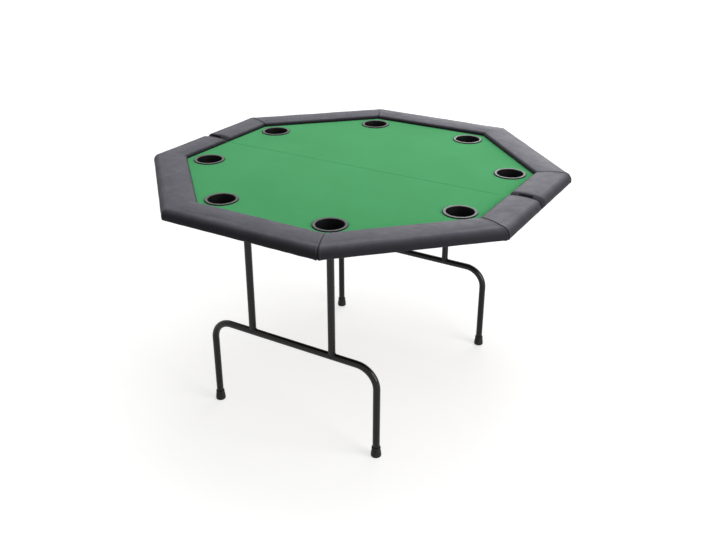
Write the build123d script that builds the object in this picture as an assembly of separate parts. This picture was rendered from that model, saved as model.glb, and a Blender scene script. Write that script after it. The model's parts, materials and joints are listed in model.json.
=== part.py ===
from build123d import *
import math
import os

# Folding poker table: an eight-sided, felt-topped table in two halves, hinged across the middle,
# on two fold-under leg frames. X runs along the fold, Y across it, Z up from the floor. Lengths in mm.

# Whole table
across_flats = 1220
rail_crown_height = 761
side_count = 8

# Seam between the two halves
panel_seam = 0.5
rail_end_gap = 3.3
hinge_axis_above_crown = 0.3

# Padded rail, as a section outwards from the felt
rail_width = 103.6
rail_depth = 35
rail_stand_above_felt = 15.5
crown_sag = 2.5
inner_shoulder_radius = 12
outer_shoulder_radius = 22
lower_edge_radius = 6
rail_side_wall = 8
wrap_under_lip = 27
rail_end_rounding = 17
rail_end_corner_rounding = 11

# Playing surface and what carries it
felt_thickness = 3
board_thickness = 15
felt_tuck = 8.6
felt_squeeze = 0.3
core_inset_from_felt = 1
core_width = 80
core_thickness = 8.5
core_end_setback = 14

# Cup holders
cup_ring_to_rail = 19
cups_per_half = 4
cup_ring_diameter = 98
cup_bore_diameter = 80
cup_ring_height = 3
cup_ring_edge = 2
cup_mouth_rounding = 2.2
cup_wall = 1.8
cup_depth = 50
cup_floor_narrowing = 4
cup_floor_rounding = 6
cup_hole_clearance = 0.6

# Leg frames
leg_line_inset = 229
foot_spread = 592
tube_diameter = 22
tube_wall = 1.5
crossbar_height = 300
crossbar_bend_radius = 66
stretcher_diameter = 16
pivot_tube_overhang = 17
leg_clearance_under_board = 6.5
nested_leg_drop = 26

# Rubber feet
foot_height = 34
foot_top_diameter = 27
foot_base_diameter = 32
foot_base_height = 7
foot_sole = 8

# Leg saddles
saddle_to_cup = 2.59
saddle_to_upright = 26
saddle_width = 24
saddle_plate = 2.5
saddle_flange = 17

# Folding stays
stay_reach = 150
stay_pivot_rise = 4.5
stay_leg_reach = 78
stay_bar_width = 15
stay_bar_thickness = 3
stay_eye_wall = 4
stay_bracket_length = 38
stay_bracket_flange = 26
stay_bracket_plate = 2.5

# Fold hinges
leaf_length = 40
leaf_drop = 30
leaf_thickness = 1.8
knuckle_radius = 3
knuckle_count = 5
hinge_pin_radius = 1.5
hinge_pin_head_radius = 2.3
hinge_pin_head = 1

# Fasteners
rivet_radius = 2.5
rivet_head_radius = 5
rivet_head = 1.8
rivet_sink_radius = 4
rivet_sink_depth = 1.4
screw_radius = 2
screw_length = 11
screw_head_radius = 4
screw_head = 2.2
leaf_screw_spread = 22
leaf_screw_radius = 1.6
leaf_screw_head_radius = 3.1

# Fits
soft_gap = 0.3
running_gap = 0.1
seat_gap = 0.05
side_gap = 0.2
cut_overrun = 5

# Heights and half widths that follow from the sizes above
half_angle = 180 / side_count
half_width = across_flats / 2
felt_edge = half_width - rail_width
rail_bottom = rail_crown_height - rail_depth
shoulder_height = rail_crown_height - crown_sag
felt_top = rail_crown_height - rail_stand_above_felt
squeezed_felt_top = felt_top - felt_squeeze
board_top = felt_top - felt_thickness
board_bottom = board_top - board_thickness
board_half_width = half_width - rail_side_wall
felt_half_width = felt_edge + felt_tuck
core_inner = felt_half_width + core_inset_from_felt
core_outer = core_inner + core_width
core_end = rail_end_gap + core_end_setback
hinge_height = rail_crown_height + hinge_axis_above_crown
hinge_x = (felt_edge + half_width) / 2
tube_radius = tube_diameter / 2
front_pivot_height = board_bottom - leg_clearance_under_board - tube_radius
back_pivot_height = front_pivot_height - nested_leg_drop
stay_tab_left = stay_bar_thickness + 2 * side_gap
stay_tab_right = stay_tab_left + stay_bar_thickness
stretcher_radius = stretcher_diameter / 2
cup_bore_radius = cup_bore_diameter / 2
cup_hole_radius = cup_bore_radius + cup_wall + cup_hole_clearance
cup_inset = cup_ring_to_rail + cup_ring_diameter / 2
cup_circle_radius = (felt_edge - cup_inset) / math.cos(math.radians(half_angle))
leg_line_from_fold = half_width - leg_line_inset
middle_cup_from_axis = cup_circle_radius * math.sin(math.radians(half_angle))
saddle_spread = 2 * (middle_cup_from_axis - cup_ring_diameter / 2 - saddle_to_cup - saddle_width / 2)
upright_spread = saddle_spread + 2 * saddle_to_upright
pivot_tube_length = upright_spread + 2 * pivot_tube_overhang


def turned(shape, front):
    """The front half is the back half turned half a turn about the upright axis."""
    return Rot(0, 0, 180) * shape if front else shape


def half_octagon(width, start):
    """Corners of the back half of the octagon, from the right end of the fold round to the left."""
    corner_radius = width / math.cos(math.radians(half_angle))
    corners = [(width, start)]
    for index in range(side_count // 2):
        angle = math.radians((2 * index + 1) * half_angle)
        corners.append((corner_radius * math.cos(angle), corner_radius * math.sin(angle)))
    corners.append((-width, start))
    return corners


def half_panel(width, start, bottom, thickness):
    """A flat half octagon."""
    outline = Polyline(*half_octagon(width, start), close=True)
    return Pos(0, 0, bottom) * extrude(make_face(outline), amount=thickness, dir=(0, 0, 1))


def rail_run(section, width, start):
    """A rail section, drawn outwards and upwards, carried round the half octagon with mitred corners."""
    path = Wire(Polyline(*half_octagon(width, start)).edges())
    return sweep(Pos(0, start, 0) * (Plane.XZ * section), path=path, transition=Transition.RIGHT)


def upright_cylinder(radius, bottom, height, x, y):
    """A cylinder that stands on its base."""
    return Pos(x, y, bottom) * extrude(Circle(radius), amount=height)


def cross_cylinder(radius, length, y, z):
    """A cylinder along X, centred on the middle of the table."""
    return Pos(0, y, z) * Rot(0, 90, 0) * Cylinder(radius, length)


def cross_cylinder_between(radius, left, right, y, z):
    """A cylinder along X from one place to another."""
    return Pos((left + right) / 2, y, z) * Rot(0, 90, 0) * Cylinder(radius, right - left)


def cup_places():
    """Cup centres of the back half, one on the line to each corner of the octagon."""
    angles = [math.radians((2 * index + 1) * half_angle) for index in range(cups_per_half)]
    return [(cup_circle_radius * math.cos(angle), cup_circle_radius * math.sin(angle)) for angle in angles]


def cup_holes(bottom, thickness):
    """Round cutters for the cups of the back half, through a panel of the given thickness."""
    height = thickness + 2 * cut_overrun
    return [upright_cylinder(cup_hole_radius, bottom - cut_overrun, height, x, y) for x, y in cup_places()]


def mount_screw_places():
    """Screw centres in the saddles' flanges and the stay bracket of the back half."""
    flange_middle = tube_radius + running_gap + saddle_plate + saddle_flange / 2
    places = []
    for x in (-saddle_spread / 2, saddle_spread / 2):
        for side in (-1, 1):
            places.append((x, leg_line_from_fold + side * flange_middle))
    for side in (-1, 1):
        bracket_y = leg_line_from_fold - stay_reach + side * stay_bracket_length / 4
        places.append((stay_tab_right + stay_bracket_flange / 2, bracket_y))
    return places


def leaf_screw_places():
    """Screw centres of both fold hinges, as places along X; they lie at the middle of the board's edge."""
    offset = leaf_screw_spread / 2
    return [side * hinge_x + step for side in (-1, 1) for step in (-offset, offset)]


# Boards, felt and rail
def board(front):
    """Fibreboard panel, cut for the cups and screws and stepped back where the rail ends meet."""
    panel = half_panel(board_half_width, panel_seam, board_bottom, board_thickness)
    step_width = board_half_width - felt_half_width
    step_depth = rail_end_gap - panel_seam
    for side in (-1, 1):
        step_x = side * (felt_half_width + step_width / 2 + cut_overrun / 2)
        step = Box(step_width + cut_overrun, step_depth + cut_overrun, board_thickness + cut_overrun)
        step_y = rail_end_gap - (step_depth + cut_overrun) / 2
        panel -= Pos(step_x, step_y, board_bottom + board_thickness / 2) * step
    panel -= cup_holes(board_bottom, board_thickness)
    for x, y in mount_screw_places():
        panel -= upright_cylinder(screw_radius + seat_gap, board_bottom - cut_overrun,
                                  cut_overrun + screw_length - saddle_plate + seat_gap, x, y)
    for x in leaf_screw_places():
        bore = Cylinder(leaf_screw_radius + seat_gap, 2 * screw_length)
        panel -= Pos(x, rail_end_gap, board_bottom + board_thickness / 2) * Rot(90, 0, 0) * bore
    return turned(panel, front)


def felt(front):
    """Playing cloth on its thin foam, pressed flatter under the rail and the cup rings."""
    cloth = half_panel(felt_half_width, panel_seam, board_top, felt_thickness - felt_squeeze)
    open_part = half_panel(felt_edge - soft_gap, panel_seam, squeezed_felt_top, felt_squeeze)
    for x, y in cup_places():
        ring_radius = cup_ring_diameter / 2 + soft_gap
        open_part -= upright_cylinder(ring_radius, squeezed_felt_top, felt_squeeze, x, y)
    cloth += open_part
    cloth -= cup_holes(board_top, felt_thickness)
    return turned(cloth, front)


def core_section(gap):
    """Section of the plywood strip inside the rail, or of the space round it."""
    left = core_inner - gap
    bottom = board_top - gap
    right = core_outer + gap
    top = board_top + core_thickness + gap
    corners = [(left, bottom), (right, bottom), (right, top), (left, top)]
    return make_face(Polyline(*corners, close=True))


def rail_core(front):
    """Plywood ring glued on the board under the padding."""
    ring = rail_run(core_section(0), half_width, core_end)
    return turned(ring, front)


def rail_pad_section():
    """Crowned padding that wraps the board's edge and turns under it."""
    inner_low = (felt_edge, squeezed_felt_top + soft_gap)
    inner_high = (felt_edge, shoulder_height - inner_shoulder_radius)
    crown_inner = (felt_edge + inner_shoulder_radius, shoulder_height)
    crown_outer = (half_width - outer_shoulder_radius, shoulder_height)
    crown_middle = ((crown_inner[0] + crown_outer[0]) / 2, rail_crown_height)
    outer_high = (half_width, shoulder_height - outer_shoulder_radius)
    outer_low = (half_width, rail_bottom + lower_edge_radius)
    bottom_outer = (half_width - lower_edge_radius, rail_bottom)
    lip_x = board_half_width - wrap_under_lip
    channel_x = board_half_width + soft_gap
    step_x = felt_half_width + soft_gap
    outline = [
        Line(inner_low, inner_high),
        RadiusArc(inner_high, crown_inner, inner_shoulder_radius),
        ThreePointArc(crown_inner, crown_middle, crown_outer),
        RadiusArc(crown_outer, outer_high, outer_shoulder_radius),
        Line(outer_high, outer_low),
        RadiusArc(outer_low, bottom_outer, lower_edge_radius),
        Polyline(bottom_outer, (lip_x, rail_bottom), (lip_x, board_bottom - soft_gap),
                 (channel_x, board_bottom - soft_gap), (channel_x, board_top + soft_gap),
                 (step_x, board_top + soft_gap), (step_x, squeezed_felt_top + soft_gap), inner_low),
    ]
    return make_face(Curve() + outline)


def rail_end_cutter(side):
    """What rounds a rail end: over its crown, and at its outer corner in plan."""
    crown_size = rail_end_rounding + cut_overrun
    crown_block = Box(rail_width + 2 * cut_overrun, crown_size, crown_size)
    crown_block = Pos(side * hinge_x, rail_end_gap + (rail_end_rounding - cut_overrun) / 2,
                      rail_crown_height + (cut_overrun - rail_end_rounding) / 2) * crown_block
    crown_round = cross_cylinder(rail_end_rounding, across_flats + 2 * cut_overrun,
                                 rail_end_gap + rail_end_rounding, rail_crown_height - rail_end_rounding)
    corner_radius = rail_end_corner_rounding
    corner_block = Box(corner_radius + cut_overrun, corner_radius + cut_overrun, rail_depth + 2 * cut_overrun)
    corner_block = Pos(side * (half_width + (cut_overrun - corner_radius) / 2),
                       rail_end_gap + (corner_radius - cut_overrun) / 2,
                       rail_bottom + rail_depth / 2) * corner_block
    corner_round = upright_cylinder(corner_radius, rail_bottom - 2 * cut_overrun,
                                    rail_depth + 4 * cut_overrun, side * (half_width - corner_radius),
                                    rail_end_gap + corner_radius)
    return (crown_block - crown_round) + (corner_block - corner_round)


def rail_pad(front):
    """Foam and cover of the rail, solid past the ends of the plywood ring."""
    pad = rail_run(rail_pad_section(), half_width, rail_end_gap)
    pad -= rail_run(core_section(soft_gap), half_width, core_end - soft_gap)
    for side in (-1, 1):
        pad -= rail_end_cutter(side)
    return turned(pad, front)


# Cup holders
def cup_holder(front, index):
    """A moulded well with a rolled ring, dropped through the board."""
    ring_radius = cup_ring_diameter / 2
    ring_top = felt_top + cup_ring_height
    floor_bore = cup_bore_radius - cup_floor_narrowing
    well_bottom = felt_top - cup_depth
    neck_radius = cup_bore_radius + cup_wall
    outline = Curve() + [
        Polyline((0, well_bottom), (floor_bore + cup_wall - cup_floor_rounding, well_bottom)),
        RadiusArc((floor_bore + cup_wall - cup_floor_rounding, well_bottom),
                  (floor_bore + cup_wall, well_bottom + cup_floor_rounding), -cup_floor_rounding),
        Polyline((floor_bore + cup_wall, well_bottom + cup_floor_rounding), (neck_radius, board_top),
                 (neck_radius, squeezed_felt_top), (ring_radius, squeezed_felt_top),
                 (ring_radius, felt_top + cup_ring_edge)),
        ThreePointArc((ring_radius, felt_top + cup_ring_edge),
                      ((ring_radius + cup_bore_radius + cup_mouth_rounding) / 2,
                       ring_top - (cup_ring_height - cup_ring_edge) / 4),
                      (cup_bore_radius + cup_mouth_rounding, ring_top)),
        RadiusArc((cup_bore_radius + cup_mouth_rounding, ring_top),
                  (cup_bore_radius, ring_top - cup_mouth_rounding), -cup_mouth_rounding),
        Polyline((cup_bore_radius, ring_top - cup_mouth_rounding),
                 (floor_bore, well_bottom + cup_wall + cup_floor_rounding)),
        RadiusArc((floor_bore, well_bottom + cup_wall + cup_floor_rounding),
                  (floor_bore - cup_floor_rounding, well_bottom + cup_wall), cup_floor_rounding),
        Polyline((floor_bore - cup_floor_rounding, well_bottom + cup_wall), (0, well_bottom + cup_wall),
                 (0, well_bottom)),
    ]
    well = revolve(Plane.XZ * make_face(outline), axis=Axis.Z)
    x, y = cup_places()[index]
    return turned(Pos(x, y, 0) * well, front)


# Leg frames, drawn unfolded at the back
def pivot_height(front):
    """The back frame is hung lower, so that the folded frames lie over each other."""
    return front_pivot_height if front else back_pivot_height


def foot_frame(front):
    """One tube: two legs and the crossbar that joins them, with a wide bend at each end."""
    half_spread = foot_spread / 2
    corners = [(-half_spread, foot_sole), (-half_spread, crossbar_height),
               (half_spread, crossbar_height), (half_spread, foot_sole)]
    line = Pos(0, leg_line_from_fold, 0) * (Plane.XZ * FilletPolyline(*corners, radius=crossbar_bend_radius))
    start = Pos(-half_spread, leg_line_from_fold, foot_sole)
    outside = sweep(start * Circle(tube_radius), path=line)
    inside = sweep(start * Circle(tube_radius - tube_wall), path=line)
    return turned(outside - inside, front)


def upright(front, side):
    """Tube from the crossbar to the pivot tube, its two ends cut to saddle them."""
    x = side * upright_spread / 2
    height = pivot_height(front) - crossbar_height
    tube = upright_cylinder(tube_radius, crossbar_height, height, x, leg_line_from_fold)
    tube -= upright_cylinder(tube_radius - tube_wall, crossbar_height, height, x, leg_line_from_fold)
    for z in (crossbar_height, pivot_height(front)):
        tube -= cross_cylinder(tube_radius + seat_gap, across_flats, leg_line_from_fold, z)
    return turned(tube, front)


def pivot_tube(front):
    """Cross tube at the top of a leg frame, which turns in the two saddles."""
    tube = cross_cylinder(tube_radius, pivot_tube_length, leg_line_from_fold, pivot_height(front))
    tube -= cross_cylinder(tube_radius - tube_wall, across_flats, leg_line_from_fold, pivot_height(front))
    return turned(tube, front)


def stretcher(front):
    """Thinner cross tube between the uprights, which carries the stay."""
    z = pivot_height(front) - stay_leg_reach
    tube = cross_cylinder(stretcher_radius, upright_spread, leg_line_from_fold, z)
    tube -= cross_cylinder(stretcher_radius - tube_wall, across_flats, leg_line_from_fold, z)
    for side in (-1, 1):
        tube -= upright_cylinder(tube_radius + seat_gap, crossbar_height, z, side * upright_spread / 2,
                                 leg_line_from_fold)
    return turned(tube, front)


def rubber_foot(front, side):
    """Flared rubber shoe pushed over the end of a leg."""
    bore = tube_radius + seat_gap
    outline = Polyline((0, 0), (foot_base_diameter / 2, 0), (foot_base_diameter / 2, foot_base_height),
                       (foot_top_diameter / 2, foot_height), (bore, foot_height), (bore, foot_sole),
                       (0, foot_sole), close=True)
    shoe = revolve(Plane.XZ * make_face(outline), axis=Axis.Z)
    return turned(Pos(side * foot_spread / 2, leg_line_from_fold, 0) * shoe, front)


# Saddles and stays, which join the leg frames to the boards
def saddle(front, side):
    """Pressed strap that holds the pivot tube up against the board."""
    axis_height = pivot_height(front)
    inner = tube_radius + running_gap
    outer = inner + saddle_plate
    reach = outer + saddle_flange
    flange_low = board_bottom - saddle_plate
    strap = Curve() + [
        Polyline((-reach, board_bottom), (-reach, flange_low), (-outer, flange_low), (-outer, axis_height)),
        ThreePointArc((-outer, axis_height), (0, axis_height - outer), (outer, axis_height)),
        Polyline((outer, axis_height), (outer, flange_low), (reach, flange_low), (reach, board_bottom),
                 (inner, board_bottom), (inner, axis_height)),
        ThreePointArc((inner, axis_height), (0, axis_height - inner), (-inner, axis_height)),
        Polyline((-inner, axis_height), (-inner, board_bottom), (-reach, board_bottom)),
    ]
    plate = extrude(Plane.YZ * make_face(strap), amount=saddle_width / 2, both=True)
    plate = Pos(side * saddle_spread / 2, leg_line_from_fold, 0) * plate
    bore_height = saddle_plate + 2 * cut_overrun
    for x, y in mount_screw_places():
        plate -= upright_cylinder(screw_radius + seat_gap, flange_low - cut_overrun, bore_height, x, y)
    return turned(plate, front)


def stay_ends(front):
    """Places across the table and up of the stay's board pivot, knee and leg pivot, when it is straight.

    The two bars are together as long as the open stay and differ by the length of the closed one, so that
    they lie in one line with the leg frame down and again with it folded.
    """
    leg_end = (leg_line_from_fold, pivot_height(front) - stay_leg_reach)
    board_end = (leg_line_from_fold - stay_reach, pivot_height(front) + stay_pivot_rise)
    open_length = math.hypot(stay_reach, stay_leg_reach + stay_pivot_rise)
    closed_length = math.hypot(stay_reach - stay_leg_reach, stay_pivot_rise)
    share = (open_length - closed_length) / 2 / open_length
    knee = (board_end[0] + share * (leg_end[0] - board_end[0]),
            board_end[1] + share * (leg_end[1] - board_end[1]))
    return board_end, knee, leg_end


def flat_bar(start, end, left, start_radius, end_radius):
    """A flat bar in the upright plane between two places, with a round end at each."""
    angle = math.degrees(math.atan2(end[1] - start[1], end[0] - start[0]))
    length = math.hypot(end[0] - start[0], end[1] - start[1])
    bar = Pos(length / 2, 0) * Rectangle(length, stay_bar_width)
    bar += Circle(start_radius)
    bar += Pos(length, 0) * Circle(end_radius)
    bar = Pos(start[0], start[1]) * Rot(0, 0, angle) * bar
    return Pos(left, 0, 0) * extrude(Plane.YZ * bar, amount=stay_bar_thickness, dir=(1, 0, 0))


def stay_upper_bar(front):
    """Short bar of the stay, from the bracket under the board to the knee."""
    board_end, knee, leg_end = stay_ends(front)
    bar = flat_bar(board_end, knee, side_gap, stay_bar_width / 2, stay_bar_width / 2)
    for y, z in (board_end, knee):
        bar -= cross_cylinder(rivet_radius + running_gap, across_flats, y, z)
    bar -= rivet_sink(board_end, running_gap)
    return turned(bar, front)


def stay_lower_bar(front):
    """Long bar of the stay, from the knee to an eye that turns on the stretcher."""
    board_end, knee, leg_end = stay_ends(front)
    eye_radius = stretcher_radius + running_gap + stay_eye_wall
    bar = flat_bar(leg_end, knee, -stay_bar_thickness, eye_radius, stay_bar_width / 2)
    bar -= cross_cylinder(stretcher_radius + running_gap, across_flats, leg_end[0], leg_end[1])
    bar -= cross_cylinder(rivet_radius + running_gap, across_flats, knee[0], knee[1])
    return turned(bar, front)


def rivet_sink(place, gap):
    """Flush conical head of the bracket rivet, or the sink round it, in the short bar's inner face."""
    cone = Cone(rivet_sink_radius + gap, rivet_radius + gap, rivet_sink_depth)
    return Pos(side_gap + rivet_sink_depth / 2, place[0], place[1]) * Rot(0, 90, 0) * cone


def stay_bracket(front):
    """Bent plate under the board that carries the short bar."""
    y, z = stay_ends(front)[0]
    half_length = stay_bracket_length / 2
    flange_width = stay_bar_thickness + stay_bracket_flange
    flange = Box(flange_width, stay_bracket_length, stay_bracket_plate)
    flange = Pos(stay_tab_left + flange_width / 2, y, board_bottom - stay_bracket_plate / 2) * flange
    tab = make_face(Polyline((y - half_length, board_bottom), (y + half_length, board_bottom),
                             (y + stay_bar_width / 2, z), (y - stay_bar_width / 2, z), close=True))
    tab += Pos(y, z) * Circle(stay_bar_width / 2)
    tab = Pos(stay_tab_left, 0, 0) * extrude(Plane.YZ * tab, amount=stay_bar_thickness, dir=(1, 0, 0))
    plate = flange + tab
    plate -= cross_cylinder(rivet_radius + seat_gap, across_flats, y, z)
    for screw_x, screw_y in mount_screw_places():
        plate -= upright_cylinder(screw_radius + seat_gap, board_bottom - stay_bracket_plate - cut_overrun,
                                  stay_bracket_plate + 2 * cut_overrun, screw_x, screw_y)
    return turned(plate, front)


def bracket_rivet(front):
    """Rivet through the bracket's tab and the short bar, flush on the side where the long bar passes."""
    y, z = stay_ends(front)[0]
    right = stay_tab_right + seat_gap
    rivet = cross_cylinder_between(rivet_radius, side_gap + rivet_sink_depth / 2, right, y, z)
    rivet += rivet_sink((y, z), 0)
    rivet += cross_cylinder_between(rivet_head_radius, right, right + rivet_head, y, z)
    return turned(rivet, front)


def knee_rivet(front, upper):
    """Half of the knee rivet, with its head: the stay is open between the two halves."""
    y, z = stay_ends(front)[1]
    if upper:
        face = side_gap + stay_bar_thickness + seat_gap
        rivet = cross_cylinder_between(rivet_radius, side_gap, face, y, z)
        rivet += cross_cylinder_between(rivet_head_radius, face, face + rivet_head, y, z)
    else:
        face = -stay_bar_thickness - seat_gap
        rivet = cross_cylinder_between(rivet_radius, face, 0, y, z)
        rivet += cross_cylinder_between(rivet_head_radius, face - rivet_head, face, y, z)
    return turned(rivet, front)


# Fold hinges, one in the gap at each end of the rail
def knuckle_span(index):
    """Where one knuckle starts and ends, from the middle of its hinge."""
    pitch = leaf_length / knuckle_count
    start = -leaf_length / 2 + index * pitch
    return start + running_gap / 2, start + pitch - running_gap / 2


def hinge_leaf(front, side):
    """Leaf screwed to the board's edge, with the knuckles of its own half: the outer ones in front."""
    plate_y = knuckle_radius - leaf_thickness / 2
    leaf = Box(leaf_length - running_gap, leaf_thickness, leaf_drop)
    leaf = Pos(0, plate_y, -leaf_drop / 2) * leaf
    for index in range(knuckle_count):
        left, right = knuckle_span(index)
        is_own = (index % 2 == 0) == front
        if is_own:
            leaf += cross_cylinder_between(knuckle_radius, left, right, 0, 0)
        else:
            notch_radius = knuckle_radius + side_gap
            leaf -= cross_cylinder_between(notch_radius, left - running_gap, right + running_gap, 0, 0)
    leaf -= cross_cylinder(hinge_pin_radius + running_gap / 2, leaf_length + cut_overrun, 0, 0)
    leaf = Pos(side * hinge_x, 0, hinge_height) * leaf
    for x in leaf_screw_places():
        bore = Cylinder(leaf_screw_radius + seat_gap, 2 * knuckle_radius)
        sink = Cone(leaf_screw_radius, leaf_screw_head_radius + seat_gap, leaf_thickness)
        place = Pos(x, plate_y, board_bottom + board_thickness / 2)
        leaf -= place * Rot(90, 0, 0) * bore
        leaf -= place * Rot(90, 0, 0) * sink
    return turned(leaf, front)


def leaf_screws(front):
    """Countersunk screws of both leaves of one half, driven into the board's edge."""
    plate_y = knuckle_radius - leaf_thickness / 2
    screws = []
    for x in leaf_screw_places():
        shank = Cylinder(leaf_screw_radius, screw_length - leaf_thickness)
        shank = Pos(0, 0, -screw_length / 2) * shank
        head = Cone(leaf_screw_radius - seat_gap, leaf_screw_head_radius, leaf_thickness)
        screw = Pos(x, plate_y, board_bottom + board_thickness / 2) * Rot(90, 0, 0) * (shank + head)
        screws.append(turned(screw, front))
    return Compound(children=screws)


def hinge_pin(side):
    """Pin through the knuckles, with a small head at each end."""
    half_length = leaf_length / 2 + running_gap
    pin = cross_cylinder(hinge_pin_radius, 2 * half_length, 0, 0)
    for end in (-1, 1):
        pin += Pos(end * (half_length + hinge_pin_head / 2), 0, 0) * cross_cylinder(hinge_pin_head_radius,
                                                                                 hinge_pin_head, 0, 0)
    return Pos(side * hinge_x, 0, hinge_height) * pin


def mount_screws(front):
    """Pan-head screws that hold the saddles and the stay bracket of one half."""
    screws = []
    top = board_bottom - saddle_plate + screw_length - seat_gap
    under_head = board_bottom - saddle_plate - seat_gap
    for x, y in mount_screw_places():
        screw = upright_cylinder(screw_radius, under_head, top - under_head, x, y)
        screw += upright_cylinder(screw_head_radius, under_head - screw_head, screw_head, x, y)
        screws.append(turned(screw, front))
    return Compound(children=screws)


def half_table_pieces(name, front):
    """The fixed pieces of one half of the top."""
    pieces = {
        f"{name}_board": board(front),
        f"{name}_felt": felt(front),
        f"{name}_rail_core": rail_core(front),
        f"{name}_rail_pad": rail_pad(front),
        f"{name}_mount_screws": mount_screws(front),
        f"{name}_hinge_screws": leaf_screws(front),
        f"{name}_stay_bracket": stay_bracket(front),
        f"{name}_stay_bracket_rivet": bracket_rivet(front),
    }
    for index in range(cups_per_half):
        pieces[f"{name}_cup_holder_{index + 1}"] = cup_holder(front, index)
    for side, hand in ((-1, "one"), (1, "two")):
        pieces[f"{name}_saddle_{hand}"] = saddle(front, side)
        pieces[f"{name}_hinge_leaf_{hand}"] = hinge_leaf(front, side)
    return pieces


def leg_frame_pieces(name, front):
    """The pieces of one leg frame and its stay."""
    pieces = {
        f"{name}_foot_frame": foot_frame(front),
        f"{name}_pivot_tube": pivot_tube(front),
        f"{name}_stretcher": stretcher(front),
        f"{name}_stay_upper_bar": stay_upper_bar(front),
        f"{name}_stay_lower_bar": stay_lower_bar(front),
        f"{name}_knee_rivet_upper": knee_rivet(front, True),
        f"{name}_knee_rivet_lower": knee_rivet(front, False),
    }
    for side, hand in ((-1, "one"), (1, "two")):
        pieces[f"{name}_upright_{hand}"] = upright(front, side)
        pieces[f"{name}_rubber_foot_{hand}"] = rubber_foot(front, side)
    return pieces


def main():
    """Make every piece and write one file for each."""
    pieces = {"hinge_pin_left": hinge_pin(-1), "hinge_pin_right": hinge_pin(1)}
    for name, front in (("front", True), ("back", False)):
        pieces.update(half_table_pieces(name, front))
        pieces.update(leg_frame_pieces(name, front))
    os.makedirs("parts", exist_ok=True)
    for name, shape in pieces.items():
        export_step(shape, f"parts/{name}.step")
    print(len(pieces), "pieces written")


main()
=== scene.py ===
"""Looks of a folding poker table: padded eight-sided rail, felt, cup wells and fold-under tube legs.

Lengths are in metres. X runs along the fold, Y across it and Z up from the floor.
"""

import json
import logging
import math
from dataclasses import dataclass
from enum import Enum
from typing import Any, Sequence

import bpy
import numpy as np
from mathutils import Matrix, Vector

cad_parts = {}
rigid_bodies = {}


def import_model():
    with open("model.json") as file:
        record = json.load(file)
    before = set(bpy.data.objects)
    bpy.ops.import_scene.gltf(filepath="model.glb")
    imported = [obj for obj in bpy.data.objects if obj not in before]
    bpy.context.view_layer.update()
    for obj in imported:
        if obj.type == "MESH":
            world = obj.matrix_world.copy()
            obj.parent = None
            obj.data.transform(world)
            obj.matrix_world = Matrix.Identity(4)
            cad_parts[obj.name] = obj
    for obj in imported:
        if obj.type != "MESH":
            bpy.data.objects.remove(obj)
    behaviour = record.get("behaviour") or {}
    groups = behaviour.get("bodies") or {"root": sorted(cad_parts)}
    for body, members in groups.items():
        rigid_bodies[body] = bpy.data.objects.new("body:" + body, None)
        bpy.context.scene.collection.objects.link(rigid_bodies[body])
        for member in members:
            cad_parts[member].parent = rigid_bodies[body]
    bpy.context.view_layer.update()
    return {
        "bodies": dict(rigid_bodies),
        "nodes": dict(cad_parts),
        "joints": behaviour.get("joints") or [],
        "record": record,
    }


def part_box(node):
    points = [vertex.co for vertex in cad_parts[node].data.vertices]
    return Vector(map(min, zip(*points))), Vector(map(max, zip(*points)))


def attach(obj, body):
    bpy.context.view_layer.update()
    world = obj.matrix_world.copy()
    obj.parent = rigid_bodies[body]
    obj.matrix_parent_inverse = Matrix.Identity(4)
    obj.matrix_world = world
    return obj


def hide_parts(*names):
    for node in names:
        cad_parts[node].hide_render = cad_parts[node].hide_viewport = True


Array = np.ndarray
Surface = tuple[Array, list[Array]]
Pair = tuple[float, float]
Triple = tuple[float, float, float]
Socket = bpy.types.NodeSocket
log = logging.getLogger("poker_table")
CIRCLE = 2.0 * math.pi
SIDE_ANGLE = math.radians(45.0)
HALF_ANGLE = math.radians(22.5)


class Half(Enum):
    """The two halves of the table. The front one is the back one turned half a turn about Z."""

    FRONT = "front"
    BACK = "back"

    @property
    def turn(self) -> float:
        """Factor on X and Y that carries the back half's points to this half."""
        return -1.0 if self is Half.FRONT else 1.0

    @property
    def body(self) -> str:
        """Body that the half of the top rides on."""
        return f"{self.value}_half"

    @property
    def leg_body(self) -> str:
        """Body that the leg frame of this half rides on."""
        return f"{self.value}_leg"

    def placed(self, points: Array) -> Array:
        """Points of the back half, whose last axis is X, Y, Z, turned to this half."""
        return points * np.array([self.turn, self.turn, 1.0])


class Corner(Enum):
    """How the rail's cover goes round a corner of the table."""

    SEAM = "seam"
    STRETCHED = "stretched"


# Meshes


def grid_quads(rows: int, columns: int, wrap_rows: bool = False, wrap_columns: bool = False) -> Array:
    """Quads of a grid of points that are numbered row by row.

    Args:
        rows: Number of rows.
        columns: Number of points in a row.
        wrap_rows: Whether the last row joins the first.
        wrap_columns: Whether the last point of a row joins its first.

    Returns:
        An array of four point numbers for each quad.
    """
    last_row, last_column = rows if wrap_rows else rows - 1, columns if wrap_columns else columns - 1
    row, column = np.meshgrid(np.arange(last_row), np.arange(last_column), indexing="ij")
    next_row, next_column = (row + 1) % rows, (column + 1) % columns
    corners = [row * columns + column, row * columns + next_column]
    corners += [next_row * columns + next_column, next_row * columns + column]
    return np.stack(corners, axis=-1).reshape(-1, 4)


def signed_volume(points: Array, blocks: Sequence[Array]) -> float:
    """Volume inside a closed surface by the divergence theorem, positive where its faces point outwards.

    Args:
        points: Points of the surface.
        blocks: Arrays of faces, each with the same number of corners, fanned from their first.

    Returns:
        The sum of the signed tetrahedra from the origin to each fanned triangle.
    """
    total = 0.0
    for block in blocks:
        for step in range(1, block.shape[1] - 1):
            a, b, c = points[block[:, 0]], points[block[:, step]], points[block[:, step + 1]]
            total += float(np.einsum("ij,ij->i", a, np.cross(b, c)).sum()) / 6.0
    return total


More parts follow.
